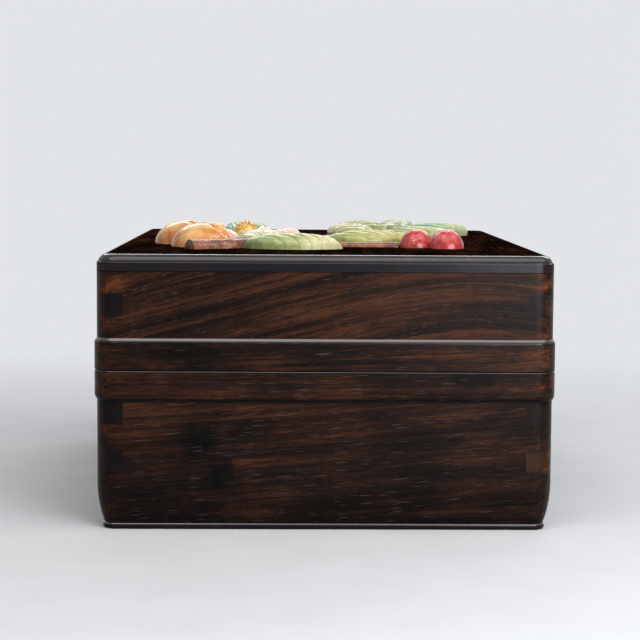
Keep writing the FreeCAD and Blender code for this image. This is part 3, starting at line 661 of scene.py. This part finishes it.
# %% Nine kinds of stone
JADE = ((122, 134, 76), (160, 168, 104), (188, 192, 134), (212, 206, 162))
LIME = ((150, 146, 70), (180, 172, 92), (198, 190, 122), (216, 206, 154))
TEAL = ((82, 118, 92), (114, 146, 110), (144, 170, 130), (180, 192, 152))
HONEY = ((184, 102, 42), (208, 140, 66), (222, 172, 98), (232, 196, 132))
GOLD = ((170, 116, 36), (206, 158, 64), (226, 190, 98), (238, 212, 140))
CORAL = ((140, 28, 32), (174, 46, 48), (194, 70, 68), (210, 110, 102))
BROWN = ((78, 38, 26), (112, 60, 40), (142, 84, 58), (168, 114, 84))
SHELL = ((206, 168, 150), (226, 196, 178), (238, 218, 200), (244, 232, 216))
STONES = {
    "green_stone": dict(tones=JADE, foot_to_tip=((98, 124, 70), (160, 168, 102), (224, 210, 164))),
    "pale_green_stone": dict(tones=JADE[1:], foot_to_tip=((180, 182, 120), (218, 206, 160))),
    "yellow_green_stone": dict(tones=LIME, foot_to_tip=((128, 148, 90), (200, 188, 102))),
    "teal_stone": dict(tones=TEAL, foot_to_tip=((94, 136, 108), (150, 170, 114), (206, 190, 116))),
    "amber_stone": dict(tones=HONEY, feature=7.0),
    "gold_stone": dict(tones=GOLD, feature=3.0),
    "coral_stone": dict(tones=CORAL, feature=4.0),
    "brown_stone": dict(tones=BROWN, feature=4.0),
    "shell": dict(tones=SHELL),
}
finishes = {name: stone(name, **recipe) for name, recipe in STONES.items()}
print(len(finishes), "kinds of stone")

# %% [markdown]
# ## Carving the stones
# The spray on the lid is cut from coloured stone: leaves on a bent stem, a blossom, buds,
# berries and two fruits. Each stone sits in a shallow recess, so the CAD node says where it
# lies and how wide and tall it is, and a carved piece takes its place. Every kind is made
# once at the origin, resting on height 0, and then copied. Carving is done as a jeweller
# would: a smooth blank comes first, and hollows and grooves are then pressed into it with
# proportional editing, which draws the stone round a groove along with it.

# %% Helpers for carving
LID_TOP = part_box("lid_top_board")[1].z
SINK, ABOVE_LID = 0.8 * MM, 0.3 * MM
TOUCHING, SOFT_ANGLE = 1e-6, math.radians(50)


def press(test, depth, reach, falloff="SMOOTH"):
    """Pushes the points that pass the test down, and draws what is within reach along."""
    pick("VERT", lambda point: point.z > ABOVE_LID and test(point))
    bpy.ops.transform.translate(
        value=(0, 0, -depth), use_proportional_edit=True,
        proportional_edit_falloff=falloff, proportional_size=reach,
    )


def smooth(repeats):
    """Evens out the part of the shape above the surface of the lid."""
    pick("VERT", lambda point: point.z > ABOVE_LID)
    bpy.ops.mesh.vertices_smooth(factor=0.5, repeat=repeats)


def cut_level():
    """Cuts the whole shape off at the floor of its recess."""
    bpy.ops.mesh.select_all(action="SELECT")
    bpy.ops.mesh.bisect(plane_co=(0, 0, -SINK), plane_no=(0, 0, 1), clear_inner=True, use_fill=True)


def close_blank():
    """Levels what was pushed below the recess's floor, and shades the blank smooth."""
    pick("VERT", lambda point: point.z < TOUCHING - SINK)
    bpy.ops.transform.resize(value=(1, 1, 0), center_override=(0, 0, -SINK))
    bpy.ops.object.mode_set(mode="OBJECT")
    bpy.ops.object.shade_smooth_by_angle(angle=SOFT_ANGLE)


def direction(degrees):
    """A level way, as a vector of length 1."""
    return Vector((math.cos(math.radians(degrees)), math.sin(math.radians(degrees))))


print("lid surface at", round(LID_TOP / MM, 2), "mm")

# %% Setting a stone in the lid
def set_stone(blank, node, colour_slot, heading=0.0, place=None, flip=1):
    """Copies a finished blank, turns it, sets it in the lid and lets it stand for a node."""
    stone_piece = blank.copy()
    stone_piece.data = blank.data.copy()
    stone_piece.name = node.replace("inlay", "stone")
    bpy.context.scene.collection.objects.link(stone_piece)
    if place is None:
        low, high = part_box(node)
        place = (low + high) / 2
    stone_piece.scale = (1, flip, 1)
    stone_piece.rotation_euler = (0, 0, heading)
    stone_piece.location = (place.x, place.y, LID_TOP)
    select_only(stone_piece)
    bpy.ops.object.transform_apply(location=True, rotation=True, scale=True)
    bpy.ops.object.mode_set(mode="EDIT")
    bpy.ops.mesh.select_all(action="SELECT")
    bpy.ops.mesh.normals_make_consistent(inside=False)
    bpy.ops.object.mode_set(mode="OBJECT")
    stone_piece.data.materials.clear()
    stone_piece.data.materials.append(finishes[colour_slot])
    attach(stone_piece, "lid")
    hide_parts(node)
    return stone_piece


def discard(blank):
    bpy.data.objects.remove(blank)


print("ready to set", sum(name.startswith("inlay") for name in nodes), "stones")

# %% [markdown]
# ### Leaves
# A leaf's outline is two arcs that meet in points, fuller on the side away from the stem.
# Each arc is one point that is spun round the arc's middle, and a bridge of fine cuts fills
# the space between them. Bisecting the flat shape puts edges exactly where the midrib and
# the side veins will run. A Shrinkwrap modifier then lays it over an egg-shaped former,
# which gives the crown.

# %% Leaf outline
FULLER, FLATTER, LEAF_RISE, CROWN_MARGIN = 7.0 * MM, 5.0 * MM, 4.4 * MM, 1.6 * MM
VEIN_FEET = [VEIN_FIRST + VEIN_STEP * pair for pair in range(5)]
ON_CUT = 1e-7


def arc_radius(bulge):
    return (LEAF_LENGTH ** 2 / 4 + bulge ** 2) / (2 * bulge)


def spin_arc(bulge, side):
    """In edit mode, adds one of the two arcs from the foot of the leaf to its tip."""
    radius = arc_radius(bulge)
    bpy.ops.mesh.primitive_plane_add(size=MM, location=(0, 0, 0))
    bpy.ops.mesh.merge(type="CENTER")
    bpy.ops.mesh.spin(
        steps=112, angle=side * 2 * math.asin(LEAF_LENGTH / 2 / radius), axis=(0, 0, 1),
        center=(LEAF_LENGTH / 2, -side * (radius - bulge), 0),
    )


select_only()
bpy.ops.mesh.primitive_uv_sphere_add(segments=128, ring_count=96, radius=1.0)
former = bpy.context.object
former.scale = (LEAF_LENGTH / 2 + CROWN_MARGIN, FULLER + CROWN_MARGIN, LEAF_RISE)
former.location.x = LEAF_LENGTH / 2
bpy.ops.object.transform_apply(location=True, rotation=False, scale=True)

select_only()
bpy.ops.mesh.primitive_plane_add(size=MM, location=(0, 0, 0))
leaf_blank = bpy.context.object
bpy.ops.object.mode_set(mode="EDIT")
bpy.ops.mesh.select_mode(type="VERT")
bpy.ops.mesh.delete(type="VERT")
spin_arc(FULLER, 1)
spin_arc(FLATTER, -1)
bpy.ops.mesh.select_all(action="SELECT")
bpy.ops.mesh.bridge_edge_loops(number_cuts=39, interpolation="LINEAR")
bpy.ops.mesh.select_all(action="SELECT")
bpy.ops.mesh.remove_doubles(threshold=TOUCHING)
bpy.ops.object.mode_set(mode="OBJECT")
print("flat leaf:", len(leaf_blank.data.polygons), "faces")

# %% Edges for the veins, and the crown
bpy.ops.object.mode_set(mode="EDIT")
bpy.ops.mesh.select_all(action="SELECT")
bpy.ops.mesh.bisect(plane_co=(0, 0, 0), plane_no=(0, 1, 0), threshold=ON_CUT)
for foot in VEIN_FEET:
    for side in (1, -1):
        pick("FACE", lambda middle: side * middle.y > 0)
        bpy.ops.mesh.bisect(
            plane_co=(foot, 0, 0), plane_no=(math.sin(VEIN_LEAN), -side * math.cos(VEIN_LEAN), 0),
            threshold=ON_CUT,
        )
bpy.ops.mesh.select_all(action="SELECT")
bpy.ops.transform.translate(value=(0, 0, 2 * LEAF_RISE))
bpy.ops.object.mode_set(mode="OBJECT")
wrap = leaf_blank.modifiers.new("crown", "SHRINKWRAP")
wrap.target = former
wrap.wrap_method = "PROJECT"
wrap.use_project_z = True
wrap.use_negative_direction, wrap.use_positive_direction = True, False
bpy.ops.object.modifier_apply(modifier="crown")
discard(former)
along_leaf = leaf_blank.data.uv_layers.active
for corner, loop in zip(along_leaf.data, leaf_blank.data.loops):
    point = leaf_blank.data.vertices[loop.vertex_index].co
    corner.uv = (point.x / LEAF_LENGTH, point.y / LEAF_LENGTH + 0.5)
heights = [vertex.co.z / MM for vertex in leaf_blank.data.vertices]
print("leaf crown:", len(heights), "points, up to", round(max(heights), 2), "mm")

# %% [markdown]
# ### Veins, rim and wall of a leaf
# On the real stone the midrib and the side veins are shallow grooves, and the rim rolls
# down to the lid. The points on each vein are found by a little geometry, pressed down, and
# their surroundings follow softly. The open rim is then extruded twice, straight down into
# the recess, and closed with a level floor.

# %% Carve the leaf
def off_vein(point):
    """How far a point is from the nearest side vein, seen from above."""
    along = point.x - abs(point.y) / math.tan(VEIN_LEAN)
    return min(abs(along - foot) for foot in VEIN_FEET) * math.sin(VEIN_LEAN)


def near_rim(point, allowance):
    """Whether a point is this close to the leaf's outline, seen from above."""
    bulge = FULLER if point.y > 0 else FLATTER
    radius = arc_radius(bulge)
    from_middle = math.hypot(point.x - LEAF_LENGTH / 2, abs(point.y) + radius - bulge)
    return radius - from_middle < allowance


def on_side_vein(point):
    return off_vein(point) < 5 * TOUCHING and not near_rim(point, 0.4 * MM)


WALL_STEP = 0.6 * MM
select_only(leaf_blank)
bpy.ops.object.mode_set(mode="EDIT")
press(lambda point: abs(point.y) < TOUCHING, depth=0.8 * MM, reach=1.2 * MM)
press(on_side_vein, depth=0.45 * MM, reach=0.9 * MM)
press(lambda point: near_rim(point, 0.02 * MM), depth=0.8 * MM, reach=1.6 * MM, falloff="SHARP")
bpy.ops.mesh.select_mode(type="EDGE")
bpy.ops.mesh.select_all(action="DESELECT")
bpy.ops.mesh.select_non_manifold()
for ring in range(2):
    bpy.ops.mesh.extrude_region_move(TRANSFORM_OT_translate={"value": (0, 0, -WALL_STEP)})
bpy.ops.transform.resize(value=(1, 1, 0), center_override=(0, 0, -SINK))
bpy.ops.mesh.edge_face_add()
bpy.ops.mesh.select_all(action="SELECT")
bpy.ops.mesh.normals_make_consistent(inside=False)
bpy.ops.object.mode_set(mode="OBJECT")
bpy.ops.object.shade_smooth_by_angle(angle=SOFT_ANGLE)
print("leaf blank:", len(leaf_blank.data.polygons), "faces")

# %% [markdown]
# ### Setting the leaves
# Nine leaves leave the stem at their own angles. The CAD leaf in each recess already has its
# foot and its tip, so the carved leaf is laid on those two points. A rough heading says
# which point is the foot, and a flip turns the fuller side away from the stem.

# %% Set the leaves
# rough heading in degrees, which way the fuller side is turned, and the stone
LEAVES = {
    "1": (-4, -1, "green_stone"), "2": (10, -1, "yellow_green_stone"), "3": (22, -1, "green_stone"),
    "4": (35, -1, "teal_stone"), "5": (87, 1, "pale_green_stone"), "6": (114, 1, "pale_green_stone"),
    "7": (126, 1, "yellow_green_stone"), "tip": (86, 1, "green_stone"), "bud": (70, -1, "teal_stone"),
}
END_POINTS = 40


def foot_and_heading(node, rough_heading):
    """A leaf's two points are its vertices that lie farthest apart; its foot is the nearer
    one as seen along the rough heading."""
    points = {(round(v.co.x, 5), round(v.co.y, 5)) for v in nodes[node].data.vertices}
    way = direction(rough_heading)
    by_way = sorted(points, key=lambda point: Vector(point).dot(way))
    pairs = [(Vector(a), Vector(b)) for a in by_way[:END_POINTS] for b in by_way[-END_POINTS:]]
    foot, tip = max(pairs, key=lambda pair: (pair[1] - pair[0]).length)
    return foot, math.atan2(tip.y - foot.y, tip.x - foot.x)


for number, (rough, side, colour_slot) in LEAVES.items():
    foot, heading = foot_and_heading(f"inlay_leaf_{number}", rough)
    set_stone(leaf_blank, f"inlay_leaf_{number}", colour_slot, heading, foot, side)
    print(f"leaf {number} turned to {math.degrees(heading):.1f} degrees")
discard(leaf_blank)

# %% [markdown]
# ### Petals
# Petals, fruits, berries and buds all start as a sphere that is flattened to the stone's
# width and height and cut off level at the floor of its recess. A petal then gets a soft
# hollow, a groove down its middle that deepens to a notch at the outer end, and four
# grooves that fan out from the blossom's eye.

# %% Petals
GROOVE, FAN_POINT = 0.12 * MM, 7 * MM
HOLLOW_MIDDLE, HOLLOW_RADIUS = Vector((-1.2 * MM, 0)), 1.8 * MM


def dome_blank(node, subdivisions=6):
    """A smooth dome as wide and tall as a node, left in edit mode, resting on height 0."""
    low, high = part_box(node)
    radius, rise = (high.x - low.x) / 2, high.z - LID_TOP
    select_only()
    bpy.ops.mesh.primitive_ico_sphere_add(subdivisions=subdivisions, radius=1.0)
    blank = bpy.context.object
    bpy.ops.object.mode_set(mode="EDIT")
    bpy.ops.transform.resize(value=(radius, radius, rise))
    cut_level()
    return blank


eye_low, eye_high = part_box("inlay_blossom_eye")
blossom_middle = (eye_low + eye_high) / 2
petal_blank = dome_blank("inlay_petal_1")
press(lambda point: (point.xy - HOLLOW_MIDDLE).length < HOLLOW_RADIUS, depth=1.8 * MM, reach=4.2 * MM)
press(lambda point: abs(point.y) < GROOVE, depth=0.45 * MM, reach=0.9 * MM)
press(lambda point: abs(point.y) < GROOVE and point.x > MM, depth=0.7 * MM, reach=1.3 * MM)
for lean in (-30, -16, 16, 30):
    slope = math.tan(math.radians(lean))
    press(
        lambda point: abs(point.y - slope * (point.x + FAN_POINT)) < GROOVE,
        depth=0.42 * MM, reach=0.8 * MM,
    )
smooth(2)
close_blank()
for number in range(1, 6):
    low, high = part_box(f"inlay_petal_{number}")
    outward = (low + high) / 2 - blossom_middle
    set_stone(petal_blank, f"inlay_petal_{number}", "shell", math.atan2(outward.y, outward.x))
discard(petal_blank)
print("five petals set")

# %% [markdown]
# ### Blossom eye, berries and buds
# The eye is a small bead with many facets: each face of a coarse dome is inset and raised,
# and a Subdivision Surface modifier rounds the result. A berry has a dimple and five short
# creases that run from it, and a bud has three creases that cross at its top.

# %% Blossom eye
eye_blank = dome_blank("inlay_blossom_eye", 3)
pick("FACE", lambda middle: middle.z > 0.6 * MM)
bpy.ops.mesh.inset(thickness=0.16 * MM, depth=0.30 * MM, use_individual=True)
bpy.ops.object.mode_set(mode="OBJECT")
rounding = eye_blank.modifiers.new("rounding", "SUBSURF")
rounding.levels = rounding.render_levels = 2
bpy.ops.object.modifier_apply(modifier="rounding")
bpy.ops.object.shade_smooth()
set_stone(eye_blank, "inlay_blossom_eye", "gold_stone")
discard(eye_blank)
print("blossom eye set")

# %% Berries and buds
DIMPLE_RADIUS, CREASE_START = 0.5 * MM, 1.2 * MM

berry_blank = dome_blank("inlay_berry_1", 5)
press(lambda point: point.xy.length < DIMPLE_RADIUS, depth=0.9 * MM, reach=1.6 * MM)
for turn in range(0, 360, 72):
    way = direction(turn)
    press(
        lambda point: abs(point.xy.cross(way)) < GROOVE and point.xy.dot(way) > CREASE_START,
        depth=0.25 * MM, reach=0.8 * MM,
    )
smooth(2)
close_blank()
for number in range(1, 4):
    set_stone(berry_blank, f"inlay_berry_{number}", "coral_stone", 0.7 * number)
discard(berry_blank)

bud_blank = dome_blank("inlay_bud_1", 5)
for turn in (10, 70, 130):
    way = direction(turn)
    press(lambda point: abs(point.xy.cross(way)) < GROOVE, depth=0.4 * MM, reach=0.9 * MM)
smooth(2)
close_blank()
for number in range(1, 4):
    set_stone(bud_blank, f"inlay_bud_{number}", "gold_stone", 0.4 * number)
discard(bud_blank)
print("berries and buds set")

# %% [markdown]
# ### Fruits
# A fruit has one soft seam over its back and a dimple where its stalk was. Both are pressed
# deep and then smoothed, so that they read as flesh and not as a cut.

# %% Fruits
STALK_PLACE = Vector((-5.2 * MM, 0))

fruit_blank = dome_blank("inlay_fruit_1")
press(
    lambda point: abs(point.y) < 0.15 * MM and abs(point.x) > 2.0 * MM,
    depth=0.9 * MM, reach=2.2 * MM,
)
press(
    lambda point: (point.xy - STALK_PLACE).length < DIMPLE_RADIUS,
    depth=1.5 * MM, reach=2.6 * MM,
)
smooth(4)
close_blank()
for number, heading in ((1, 150), (2, 128)):
    set_stone(fruit_blank, f"inlay_fruit_{number}", "amber_stone", math.radians(heading))
discard(fruit_blank)
print("two fruits set")

# %% [markdown]
# ### Stem
# The stem is a rod bent to an arc. A circle stood on its edge is spun about the arc's
# middle. Rings of it are then widened where leaves and twigs leave it, which gives low
# knots, and furrows are pressed along it.

# %% Stem
STEM_RADIUS, ARC = 2.6 * MM, 140.0 * MM
START_HEADING, SWEEP = math.radians(33), math.radians(53)
STEM_STEPS, QUARTER_TURN = 160, math.radians(90)
# shares of the sweep at which the stem has a knot, and heights of its furrows
STEM_KNOTS = (0.0, 0.1, 0.2, 0.26, 0.37, 0.5, 0.6, 0.7, 0.85, 0.94, 1.0)
FURROWS = (1.4 * MM, 2.15 * MM)

start = Vector((-37.0, -58.0, 0)) * MM
arc_middle = start + ARC * Vector((-math.sin(START_HEADING), math.cos(START_HEADING), 0))
select_only()
bpy.ops.mesh.primitive_circle_add(
    vertices=32, radius=0.97 * STEM_RADIUS, fill_type="NGON", location=start,
    rotation=(QUARTER_TURN, 0, START_HEADING + QUARTER_TURN),
)
stem_blank = bpy.context.object
bpy.ops.object.transform_apply(location=True, rotation=True, scale=True)
bpy.ops.object.mode_set(mode="EDIT")
bpy.ops.mesh.select_all(action="SELECT")
bpy.ops.mesh.spin(steps=STEM_STEPS, angle=-SWEEP, center=arc_middle, axis=(0, 0, 1))
for knot in STEM_KNOTS:
    angle = START_HEADING - QUARTER_TURN + round(knot * STEM_STEPS) / STEM_STEPS * SWEEP
    way = Vector((math.cos(angle), math.sin(angle), 0))
    middle = arc_middle + ARC * way
    pick("VERT", lambda point: abs((point - middle).dot(Vector((-way.y, way.x, 0)))) < 0.2 * MM)
    bpy.ops.transform.resize(
        value=(1.07, 1.07, 1.07), center_override=middle, use_proportional_edit=True,
        proportional_edit_falloff="SMOOTH", proportional_size=2.2 * MM,
    )
for height in FURROWS:
    press(lambda point: abs(point.z - height) < GROOVE, depth=0.10 * MM, reach=0.35 * MM)
cut_level()
close_blank()
stem = set_stone(stem_blank, "inlay_stem", "brown_stone", place=Vector((0, 0, 0)))
discard(stem_blank)
print("stem:", len(stem.data.polygons), "faces")

# %% [markdown]
# ### Twigs
# The three twigs are short straight rods. Each is cut across into rings, the rings are
# drawn in towards the middle of its length to give a waist, and its ends are bevelled.

# %% Twigs
# heading in degrees and length
TWIGS = {"blossom": (149.5, 19.0 * MM), "berry": (-3.2, 30.0 * MM), "bud": (113.5, 12.0 * MM)}
TWIG_RADIUS, RINGS, WAIST = 1.5 * MM, 12, 0.13
NEAR = 0.01 * MM

for name, (heading, length) in TWIGS.items():
    select_only()
    bpy.ops.mesh.primitive_cylinder_add(
        vertices=24, radius=TWIG_RADIUS, depth=length, rotation=(0, QUARTER_TURN, 0)
    )
    twig_blank = bpy.context.object
    bpy.ops.object.transform_apply(location=True, rotation=True, scale=True)
    bpy.ops.object.mode_set(mode="EDIT")
    for cut in range(1, RINGS):
        bpy.ops.mesh.select_all(action="SELECT")
        bpy.ops.mesh.bisect(plane_co=((cut / RINGS - 0.5) * length, 0, 0), plane_no=(1, 0, 0))
    for cut in range(1, RINGS):
        x = (cut / RINGS - 0.5) * length
        narrowing = 1 - WAIST * math.sin(math.pi * cut / RINGS)
        pick("VERT", lambda point: abs(point.x - x) < NEAR)
        bpy.ops.transform.resize(value=(1, narrowing, narrowing), center_override=(x, 0, 0))
    cut_level()
    pick("EDGE", lambda middle: abs(middle.x) > length / 2 - NEAR and middle.z > NEAR - SINK)
    bpy.ops.mesh.bevel(offset=0.35 * MM, segments=3, affect="EDGES")
    close_blank()
    set_stone(twig_blank, f"inlay_{name}_twig", "brown_stone", math.radians(heading))
    discard(twig_blank)
    print(name, "twig", round(length / MM, 2), "mm long")
